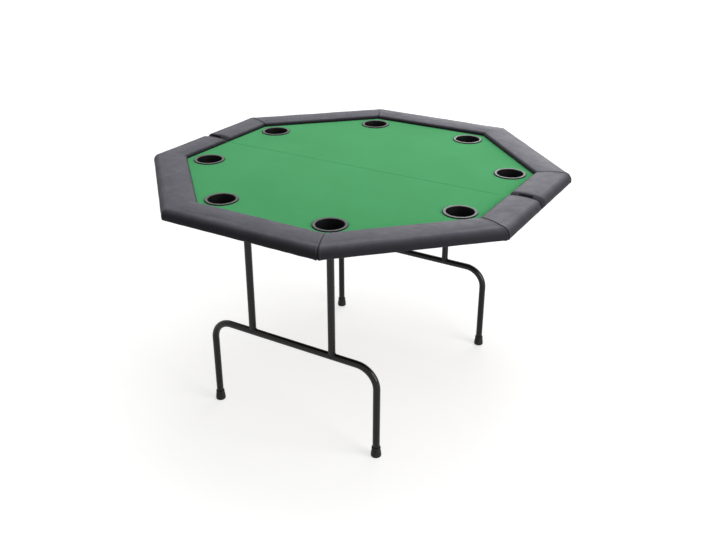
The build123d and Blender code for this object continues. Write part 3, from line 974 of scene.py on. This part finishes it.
        rise = np.minimum(section[:, 1] + offset * normal[:, 1], self.highest)
        points = np.concatenate([flat, np.broadcast_to(rise, away.shape)[..., None]], axis=-1)
        columns = len(points)
        caps = [number[None, ::-1], (number + (columns - 1) * count)[None, :]]
        kinds = np.array([kind is Corner.SEAM for kind in self.corner_kinds()])
        seam = bell(away, 1.15 * self.seam_width) * kinds[np.clip(nearest, 0, 3)] * skin
        # Painted shade: the foot of the inner wall, by the felt, is marked dark in the same number as the
        # seams.
        seam = np.maximum(seam, np.exp(-((run / self.felt_shade_run) ** 4)))
        # Painted light: upward faces get the lighter top tone, the outer shoulder darkens sooner than the
        # inner one, and the rounded ends by the fold are painted darker.
        power = np.where(normal[:, 0] > 0.0, 3.0, 1.4)
        top = held(normal[:, 1]) ** power * (1.0 - 0.5 * held(2.5 * share))
        faces = [grid_quads(columns, count, wrap_columns=True), *caps]
        cover = self.piece("rail_cover", (points, faces), self.half.body, "rail_cover", 50.0, "rail_pad",
                           values={"seam": seam, "top": top})
        return [cover]


@dataclass
class FeltPanel(Maker):
    """Playing cloth stretched over one board, on thin foam, with its holes under the cup rings."""

    half_width: float = 0.515
    fold_gap: float = 0.0003
    felt_edge: float = 0.5064
    top: float = 0.7455
    thickness: float = 0.0027
    cell: float = 0.006
    roll: float = 0.0005
    roll_reach: float = 0.0009
    rail_step: float = 0.0004
    uneven: float = 0.00008
    ring_dish: float = 0.0006
    fold_shade_reach: float = 0.0012
    hole_radius: float = 0.044
    cut_radius: float = 0.0425
    cup_circle: float = 0.47452
    ring_radius: float = 0.049

    def area(self) -> float:
        """Flat area of the cut: half an octagon less the strip at the fold and four holes."""
        octagon = 4.0 * self.half_width**2 * math.tan(HALF_ANGLE)
        return octagon - 2.0 * self.half_width * self.fold_gap - 4.0 * math.pi * self.cut_radius**2

    def build(self) -> list[bpy.types.Object]:
        """Build the cloth as a grid whose rows run along the fold and are as wide as the octagon there.

        Its height is the top less a roll over the fold's edge that fades as exp(-d / reach), a slight dish
        under each ring and a slight step down under the rail. Points near a hole are moved onto its circle,
        which the ring covers.

        Returns:
            The cloth, which stands for the felt.
        """
        near = self.fold_gap + np.array([0.0, 0.0004, 0.0009, 0.0016, 0.0026, 0.004])
        rows = np.concatenate([near, np.linspace(0.0075, self.half_width, int(self.half_width / self.cell))])
        shares = np.linspace(-1.0, 1.0, int(2 * self.half_width / self.cell) + 1)
        width = np.minimum(self.half_width, self.half_width * (1 + math.tan(HALF_ANGLE)) - rows)
        x = width[:, None] * shares
        y = np.broadcast_to(rows[:, None], x.shape)
        height = self.top - self.roll * np.exp(-(y - self.fold_gap) / self.roll_reach)
        across = np.maximum.reduce([np.abs(x), y, (np.abs(x) + y) * math.sqrt(0.5)])
        height = height - self.rail_step * held((across - self.felt_edge) / 0.002 + 1.0)
        wave = np.sin(CIRCLE * (x / 0.19 + y / 0.27))
        height = height + self.uneven * wave * held(y / 0.02)
        flat = np.stack([x, y], axis=-1)
        keep = np.ones(x.shape, dtype=bool)
        for centre in cup_centres(self.cup_circle):
            offset = flat - centre
            radius = np.linalg.norm(offset, axis=-1)
            near_rim = np.abs(radius - self.hole_radius) < 0.6 * self.cell
            moved = centre + offset * (self.hole_radius / np.maximum(radius, 1e-9))[..., None]
            flat = np.where(near_rim[..., None], moved, flat)
            keep &= (radius > self.hole_radius) | near_rim
            dish = held((self.ring_radius + 0.0016 - radius) / 0.002)
            height = height - self.ring_dish * dish
        quads = grid_quads(*x.shape)
        quads = quads[keep.ravel()[quads].all(axis=1)]
        points = np.concatenate([flat, height[..., None]], axis=-1).reshape(-1, 3)
        used, numbers = np.unique(quads, return_inverse=True)
        # Painted shade: this number fades away from the fold, where the cloth is painted darker.
        edge = np.exp(-(y - self.fold_gap) / self.fold_shade_reach).ravel()[used]
        surface = points[used], [numbers.reshape(quads.shape)]
        felt = self.piece("felt_cloth", surface, self.half.body, "green_felt", 60.0, "felt",
                          closed=False, values={"edge": edge})
        solidify = felt.modifiers.new("thickness", "SOLIDIFY")
        solidify.thickness, solidify.offset = self.thickness, -1.0
        return [felt]


@dataclass
class CupHolder(Maker):
    """Moulded well with a rolled ring, dropped through the felt and the board."""

    cup_circle: float = 0.47452
    felt_top: float = 0.7455
    ring_top: float = 0.7485
    ring_radius: float = 0.049
    bore: float = 0.040
    floor_bore: float = 0.036
    wall: float = 0.0018
    depth: float = 0.050
    floor_rounding: float = 0.006
    mouth_rounding: float = 0.0014
    ring_roll: float = 0.0022

    def profile(self) -> Array:
        """Section from the middle of the underside, round the ring, to the middle of the floor.

        The ring is flat beside the mouth and then a quarter of an ellipse down to its outer edge. The floor
        has two low steps and a small boss.

        Returns:
            Rows of radius and height.
        """
        low, outside = self.felt_top - self.depth, self.floor_bore + self.wall
        inside = low + self.wall
        flat = self.ring_radius - self.ring_roll
        angle = np.radians(np.linspace(0.0, 90.0, 9))
        fall = (self.ring_top - self.felt_top) * (1.0 - np.sin(angle))
        roll = np.stack([flat + self.ring_roll * np.cos(angle), self.ring_top - fall], axis=-1)
        mouth = (self.bore + self.mouth_rounding, self.ring_top - self.mouth_rounding)
        bend, under = self.floor_rounding, self.felt_top - 0.0005
        runs = [
            np.array([(0.0, low), (0.010, low), (0.0106, low + 0.0005), (0.024, low + 0.0005),
                      (0.0246, low)]),
            arc((outside - bend, low + bend), bend, -90.0, 0.0, 8),
            line((outside, low + bend), (self.bore + self.wall, self.felt_top - 0.003), 6)[1:],
            np.array([(self.bore + self.wall, under), (self.ring_radius - 0.0004, under),
                      (self.ring_radius, self.felt_top)]),
            roll[:-1],
            line((flat, self.ring_top), (mouth[0], self.ring_top), 4)[:-1],
            arc(mouth, self.mouth_rounding, 90.0, 180.0, 7),
            line((self.bore, mouth[1]), (self.floor_bore, inside + bend), 12)[1:],
            arc((self.floor_bore - bend, inside + bend), bend, 0.0, -90.0, 8)[1:],
            np.array([(0.0265, inside), (0.0260, inside - 0.0004), (0.0180, inside - 0.0004),
                      (0.0175, inside), (0.0060, inside), (0.0054, inside + 0.0004),
                      (0.0, inside + 0.0004)]),
        ]
        return np.concatenate(runs)

    def build(self) -> list[bpy.types.Object]:
        """Build the four cup holders of one half as surfaces of revolution.

        Returns:
            The pieces, each of which stands for one CAD cup holder.
        """
        made = []
        for index, centre in enumerate(cup_centres(self.cup_circle)):
            points, blocks = revolved(self.profile(), centre, 96)
            radius = np.hypot(points[:, 0] - centre[0], points[:, 1] - centre[1])
            height = points[:, 2]
            # Where the lip's painted highlight and the well's painted shade fall.
            lip = held((self.ring_radius - self.ring_roll + 0.0006 - radius) / 0.0006)
            lip *= held((height - self.ring_top + 0.0013) / 0.0005)
            well = (radius < self.bore + 0.0006) & (height > self.felt_top - self.depth + 0.9 * self.wall)
            made.append(self.piece(f"cup_{index + 1}", (points, blocks), self.half.body, "cup_plastic", 32.0,
                                   f"cup_holder_{index + 1}",
                                   values={"lip": lip, "well": well * (1.0 - lip)}))
        return made


@dataclass
class Fasteners(Maker):
    """Cross-recessed screws under one board, the domed rivets of its stay and the staples of its cover."""

    board_bottom: float = 0.7275
    plate: float = 0.0025
    leg_line: float = 0.381
    flange_middle: float = 0.0221
    saddle_spread: float = 0.236
    stay_reach: float = 0.150
    bracket_length: float = 0.038
    bracket_screw_x: float = 0.0194
    head_radius: float = 0.004
    head_height: float = 0.0022
    shank_radius: float = 0.002
    shank_length: float = 0.0085
    recess_depth: float = 0.0013
    recess_width: float = 0.0005
    recess_length: float = 0.0020
    rivet_radius: float = 0.005
    rivet_rim: float = 0.0007
    rivet_head: float = 0.0018
    staple_line: float = 0.5825
    staple_pitch: float = 0.037
    cover_bottom: float = 0.726

    def screw_places(self) -> list[Pair]:
        """Screw centres of the back half: four saddle flanges and the stay bracket.

        Returns:
            X and Y of each screw.
        """
        places = [(side * self.saddle_spread / 2, self.leg_line + end * self.flange_middle)
                  for side in (-1, 1) for end in (-1, 1)]
        bracket = self.leg_line - self.stay_reach
        return places + [(self.bracket_screw_x, bracket + end * self.bracket_length / 4) for end in (-1, 1)]

    def screw(self, x: float, y: float, turn: float) -> Surface:
        """One pan-head screw with a cross recess, head down.

        The head's face is a dome, h (1 - 0.3 (r/R)^4), less a cross whose depth is the larger of two products
        of clipped ramps across and along its arms.

        Args:
            x: Place of the screw.
            y: Place of the screw.
            turn: Angle of the recess.

        Returns:
            Points and face blocks.
        """
        count = 40
        share = np.concatenate([np.linspace(0.06, 0.62, 11), np.linspace(0.7, 1.0, 6)])
        angle = np.linspace(0.0, CIRCLE, count, endpoint=False)
        radius = share[:, None] * self.head_radius
        u, v = radius * np.cos(angle), radius * np.sin(angle)
        across = [held((self.recess_width - np.abs(w)) / 0.00022 + 0.5) for w in (u, v)]
        length = [held((self.recess_length - np.abs(w)) / 0.0004 + 0.5) for w in (v, u)]
        arm, other = across[0] * length[0], across[1] * length[1]
        dome = self.head_height * (1.0 - 0.3 * share**4)[:, None] - self.recess_depth * np.maximum(arm, other)
        base = self.board_bottom - self.plate - 0.00005
        rings = [np.stack([u, v, base - dome], axis=-1)]
        tip = base + self.shank_length
        for r, z in ((self.head_radius, base), (self.shank_radius, base), (self.shank_radius, tip)):
            rings.append(np.stack([r * np.cos(angle), r * np.sin(angle), np.full(count, z)], axis=-1)[None])
        hollow = base - self.head_height + self.recess_depth
        points, blocks = closed_rings(np.concatenate(rings), (0.0, 0.0, hollow), (0.0, 0.0, tip))
        spin = np.array([[math.cos(turn), -math.sin(turn)], [math.sin(turn), math.cos(turn)]])
        points[:, :2] = points[:, :2] @ spin.T + np.array([x, y])
        return points, blocks

    def screws(self) -> bpy.types.Object:
        """Build the six mounting screws of one half as one piece.

        Returns:
            The screws, which stand for the CAD ones.
        """
        turns = np.random.default_rng(31 if self.half is Half.BACK else 47).uniform(0.0, math.pi, 6)
        parts = [self.screw(x, y, turn) for (x, y), turn in zip(self.screw_places(), turns)]
        return self.piece("screws", merged(parts), self.half.body, "zinc_steel", 30.0, "mount_screws")

    def rivets(self) -> list[bpy.types.Object]:
        """Build the stay's rivets from the places of the CAD ones, each along X with a low domed head.

        The dome is four places on a shallow arc inside a rounded rim, on the side where the CAD head is.

        Returns:
            The three rivets.
        """
        made = []
        side = self.half.value
        bodies = {"stay_bracket_rivet": self.half.body, "knee_rivet_upper": f"{side}_stay_upper",
                  "knee_rivet_lower": f"{side}_stay_lower"}
        for name, body in bodies.items():
            low, high = (np.array(corner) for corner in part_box(f"{side}_{name}"))
            middle = (low + high) / 2
            head_up = (name != "knee_rivet_lower") == (self.half is Half.BACK)
            length, head = high[0] - low[0], self.rivet_head
            angle = np.radians(np.linspace(30.0, 90.0, 7))
            rim_radius = self.rivet_radius - self.rivet_rim + self.rivet_rim * np.cos(angle - 0.5)
            rim = np.stack([rim_radius, self.rivet_rim * np.sin(angle)], axis=-1)
            dome = np.array([(0.0036, 0.00115), (0.0026, 0.0015), (0.0013, 0.00174), (0.0, head)])
            shank = np.array([(0.0, 0.0), (0.0022, 0.0), (0.0025, 0.0003), (0.0025, length - head),
                              (self.rivet_radius - 0.0002, length - head)])
            profile = np.concatenate([shank, rim + [0.0, length - head], dome + [0.0, length - head]])
            points, blocks = revolved(profile, (0.0, 0.0), 40)
            along = low[0] + points[:, 2] if head_up else high[0] - points[:, 2]
            points = np.stack([along, middle[1] + points[:, 0], middle[2] + points[:, 1]], axis=-1)
            in_back_half = self.half.placed(points), blocks
            made.append(self.piece(f"{name}_domed", in_back_half, body, "zinc_steel", 35.0, name))
        return made

    def staple(self, x: float, y: float, turn: float) -> Surface:
        """One staple crown as a bar of six-sided section whose two ends bend up into the board.

        Args:
            x: Place of the staple.
            y: Place of the staple.
            turn: Angle of its crown from X.

        Returns:
            Points and face blocks.
        """
        path = np.array([(-0.0056, 0.0012), (-0.0055, 0.0001), (-0.0050, -0.00025), (0.0050, -0.00025),
                         (0.0055, 0.0001), (0.0056, 0.0012)])
        angle = np.radians(np.arange(0, 360, 60))
        v = np.broadcast_to(0.00055 * np.cos(angle), (6, 6))
        u = np.broadcast_to(path[:, :1], (6, 6))
        z = self.cover_bottom + path[:, 1:] + 0.00030 * np.sin(angle)
        place = [x + u * math.cos(turn) - v * math.sin(turn), y + u * math.sin(turn) + v * math.cos(turn), z]
        ends = np.array([np.arange(6)[::-1], np.arange(6) + 30])
        return np.stack(place, axis=-1).reshape(-1, 3), [grid_quads(6, 6, wrap_columns=True), ends]

    def staples(self) -> bpy.types.Object:
        """Build the row of staples that holds the cover's lip, a little uneven, round the half octagon.

        Returns:
            The staples.
        """
        rng = np.random.default_rng(5 if self.half is Half.BACK else 11)
        reach = self.staple_line * math.tan(HALF_ANGLE)
        parts = []
        for side in range(5):
            turn = side * SIDE_ANGLE
            low = 0.022 if side == 0 else -reach + 0.016
            high = -0.022 if side == 4 else reach - 0.016
            for where in np.linspace(low, high, max(2, int((high - low) / self.staple_pitch) + 1)):
                out = self.staple_line + rng.uniform(-0.0016, 0.0016)
                where = where + rng.uniform(-0.002, 0.002)
                x = out * math.cos(turn) - where * math.sin(turn)
                y = out * math.sin(turn) + where * math.cos(turn)
                parts.append(self.staple(x, y, turn + math.pi / 2 + rng.uniform(-0.12, 0.12)))
        return self.piece("staples", merged(parts), self.half.body, "zinc_steel", 50.0)

    def build(self) -> list[bpy.types.Object]:
        """Build the screws, the staples and the rivets of one half."""
        return [self.screws(), self.staples(), *self.rivets()]


# The legs


@dataclass
class LegTrim(Maker):
    """Rubber shoes and weld beads of one leg frame."""

    leg_line: float = 0.381
    foot_spread: float = 0.592
    upright_spread: float = 0.288
    tube_radius: float = 0.011
    stretcher_radius: float = 0.008
    crossbar_height: float = 0.300
    front_pivot_height: float = 0.710
    back_pivot_height: float = 0.684
    stretcher_drop: float = 0.078
    shoe_height: float = 0.034
    shoe_top: float = 0.0135
    shoe_base: float = 0.016
    bead: float = 0.0017

    @property
    def pivot_height(self) -> float:
        """Height of the cross tube that the frame turns on."""
        return self.front_pivot_height if self.half is Half.FRONT else self.back_pivot_height

    def shoe_profile(self) -> Array:
        """Section of a shoe: ribbed sole, rounded base, tapered body, collar and bore.

        Returns:
            Rows of radius and height.
        """
        bore = self.tube_radius + 0.00005
        rib = np.array([(0.0, 0.0008), (0.004, 0.0008), (0.0046, 0.0), (0.0066, 0.0), (0.0072, 0.0008),
                        (0.0084, 0.0008), (0.0090, 0.0), (0.0105, 0.0)])
        base = arc((self.shoe_base - 0.0045, 0.0045), 0.0045, -90.0, 0.0, 9)
        body = np.array([(self.shoe_base - 0.0001, 0.0085), (0.0153, 0.0140), (0.0143, 0.0205),
                         (0.0137, 0.0252)])
        top = self.shoe_top + 0.0002
        collar = np.array([(0.0133, 0.0262), (0.0124, 0.0268), (0.0124, 0.0277), (0.0136, 0.0283),
                           (top, 0.0292), (top, 0.0322), (0.0133, 0.0335), (0.0122, self.shoe_height)])
        inside = np.array([(bore, self.shoe_height - 0.0008), (bore, 0.0081), (0.0, 0.0081)])
        return np.concatenate([rib, base, body, collar, inside])

    def shoes(self) -> list[bpy.types.Object]:
        """Build both shoes of a frame as surfaces of revolution.

        Returns:
            The two shoes, which stand for the rubber feet.
        """
        made = []
        for side, hand in ((-1, "one"), (1, "two")):
            centre = (side * self.foot_spread / 2, self.leg_line)
            surface = revolved(self.shoe_profile(), centre, 56)
            made.append(self.piece(f"shoe_{hand}", surface, self.half.leg_body, "foot_rubber", 35.0,
                                   f"rubber_foot_{hand}"))
        return made

    def saddle_bead(self, x: float, z: float, up: float) -> Surface:
        """Weld round an upright where it saddles a cross tube of the same radius.

        The path lies on the cross tube: X is r cos t, and the angle round the cross tube is t brought to
        within a quarter turn and drawn past it at the two tips, where the weld runs on down the tube's side.

        Args:
            x: Place of the upright.
            z: Height of the cross tube's axis.
            up: 1 where the upright stands on the tube, -1 where it hangs from it.

        Returns:
            Points and face blocks.
        """
        turn = np.linspace(0.0, CIRCLE, 96, endpoint=False)
        folded = np.arcsin(np.sin(turn))
        round_tube = folded * (1.0 + 0.26 * np.abs(np.sin(turn)) ** 7)
        path = np.stack([x + self.tube_radius * np.cos(turn),
                         self.leg_line + self.tube_radius * np.sin(round_tube),
                         z + up * self.tube_radius * np.cos(round_tube)], axis=-1)
        ripple = self.bead * (1.0 + 0.10 * np.sin(24 * turn) + 0.08 * np.sin(7 * turn + 1.0))
        return closed_tube(path, ripple, 10)

    def stretcher_bead(self, x: float, z: float, inward: float) -> Surface:
        """Weld round the stretcher where it meets an upright.

        The path lies on both tubes: Y and Z are s cos t and s sin t about the stretcher's axis, and X is the
        upright's surface there, sqrt(r^2 - Y^2).

        Args:
            x: Place of the upright.
            z: Height of the stretcher.
            inward: Direction along X from the upright to the middle.

        Returns:
            Points and face blocks.
        """
        turn = np.linspace(0.0, CIRCLE, 64, endpoint=False)
        y = self.stretcher_radius * np.cos(turn)
        path = np.stack([x + inward * np.sqrt(self.tube_radius**2 - y**2), self.leg_line + y,
                         z + self.stretcher_radius * np.sin(turn)], axis=-1)
        return closed_tube(path, 0.8 * self.bead * (1.0 + 0.12 * np.sin(18 * turn)), 10)

    def welds(self) -> bpy.types.Object:
        """Build all weld beads of a frame as one piece.

        Returns:
            The beads.
        """
        pivot = self.pivot_height
        beads = []
        for side in (-1, 1):
            x = side * self.upright_spread / 2
            beads.append(self.saddle_bead(x, self.crossbar_height, 1.0))
            beads.append(self.saddle_bead(x, pivot, -1.0))
            beads.append(self.stretcher_bead(x, pivot - self.stretcher_drop, -side))
        return self.piece("welds", merged(beads), self.half.leg_body, "black_tube", 40.0)

    def build(self) -> list[bpy.types.Object]:
        """Build the shoes and the welds of one frame."""
        return [*self.shoes(), self.welds()]


# Floor, light and camera


@dataclass
class Studio:
    """Pale floor, soft even light and the camera."""

    floor_size: float = 30.0
    floor_seen: float = 0.58
    shade_middle: Triple = (-0.1, 1.1, 0.0)
    shade_reach: Triple = (0.9, 1.9, 3.4)
    shade_glow: Triple = (0.585, 0.727, 1.0)
    floor_tone: float = 0.50
    world_light: float = 0.20
    lamp_aim: Triple = (0.0, 0.0, 0.7)
    soft_boxes: tuple[tuple[str, Triple, float, float], ...] = (
        ("side_box", (3.0, -0.2, 1.6), 2.0, 61.0),
        ("top_box", (-0.3, 0.8, 3.3), 2.4, 47.0),
        ("back_box", (-0.2, 3.2, 1.8), 2.5, 35.0),
    )
    camera_place: Triple = (1.3081, -2.1847, 1.6184)
    target: Triple = (0.0620, -0.0938, 0.4413)
    lens: float = 42.984

    def floor(self) -> None:
        """Lay a floor that is white to the camera, reflections and clear surfaces, and keeps the shadow.

        What those rays see is dull white plus a glow that grows with the distance from a point just behind
        the table, so that the floor round the table is painted darker, a painted shade. Other rays meet a
        greyer floor, which throws less light up on the table.
        """
        half = self.floor_size / 2
        mesh = bpy.data.meshes.new("floor")
        corners = [(-half, -half, 0), (half, -half, 0), (half, half, 0), (-half, half, 0)]
        mesh.from_pydata(corners, [], [(0, 1, 2, 3)])
        piece = bpy.data.objects.new("floor", mesh)
        bpy.context.scene.collection.objects.link(piece)
        g = Graph("studio_floor")
        bright = g.node("ShaderNodeBsdfDiffuse", {"Color": (*[self.floor_seen] * 3, 1.0)})
        inputs = {0: g.place, 1: self.shade_middle}
        distance = g.node("ShaderNodeVectorMath", inputs, operation="DISTANCE").outputs["Value"]
        (near, middle, far), (low, mean, high) = self.shade_reach, self.shade_glow
        outer = g.spread(distance, middle, far, 0.0, high - mean)
        glow = g.math("ADD", g.spread(distance, near, middle, low, mean), outer)
        lift = g.node("ShaderNodeEmission", {"Color": (1.0, 1.0, 0.995, 1.0), "Strength": glow})
        both = g.node("ShaderNodeAddShader", {0: bright.outputs[0], 1: lift.outputs[0]})
        pale = g.node("ShaderNodeBsdfDiffuse", {"Color": (*[self.floor_tone] * 3, 1.0)})
        mixed = g.node("ShaderNodeMixShader", {0: g.seen(), 1: pale.outputs[0], 2: both.outputs[0]})
        output = next(n for n in g.tree.nodes if n.type == "OUTPUT_MATERIAL")
        g.tree.links.new(mixed.outputs[0], output.inputs["Surface"])
        g.tree.nodes.remove(g.shader)
        mesh.materials.append(g.material)

    def world(self) -> None:
        """Even sky, white where the camera, a reflection or a clear surface sees it."""
        world = bpy.data.worlds.new("studio")
        bpy.context.scene.world = world
        world.use_nodes = True
        n = Nodes(world.node_tree)
        sky = n.tree.nodes["Background"]
        sky.inputs["Color"].default_value = (1.0, 1.0, 1.0, 1.0)
        strength = n.spread(n.seen(), 0.0, 1.0, self.world_light, 1.0)
        n.tree.links.new(strength, sky.inputs["Strength"])

    def lamps(self) -> None:
        """Set up the square soft boxes by place, size and power: low on the right, overhead and behind."""
        for name, place, size, power in self.soft_boxes:
            data = bpy.data.lights.new(name, "AREA")
            data.shape, data.size, data.energy = "SQUARE", size, power
            lamp = bpy.data.objects.new(name, data)
            lamp.location = place
            aim = Vector(self.lamp_aim) - Vector(place)
            lamp.rotation_euler = aim.to_track_quat("-Z", "Y").to_euler()
            bpy.context.scene.collection.objects.link(lamp)

    def camera(self) -> None:
        """Set up the camera at the photograph's place and angle."""
        data = bpy.data.cameras.new("camera")
        data.lens, data.sensor_width = self.lens, 36.0
        camera = bpy.data.objects.new("camera", data)
        camera.location = self.camera_place
        back = Vector(self.camera_place) - Vector(self.target)
        camera.rotation_euler = back.to_track_quat("Z", "Y").to_euler()
        bpy.context.scene.collection.objects.link(camera)
        bpy.context.scene.camera = camera

    def build(self) -> None:
        """Set up the floor, world, lamps, camera and plain colour handling."""
        bpy.context.scene.view_settings.view_transform = "Standard"
        self.floor()
        self.world()
        self.lamps()
        self.camera()


def main() -> None:
    """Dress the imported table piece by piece."""
    logging.basicConfig(level=logging.INFO, format="%(name)s: %(message)s")
    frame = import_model()
    finishes = Finishes()
    log.info("%d nodes dressed", finishes.dress_nodes(frame))
    Studio().build()
    log.info("floor, light and camera placed")
    for half in Half:
        for maker in (RailCover, FeltPanel, CupHolder, Fasteners, LegTrim):
            for piece in maker(half, finishes).build():
                log.info("made %s", piece.name)


if __name__ == "__main__":
    main()
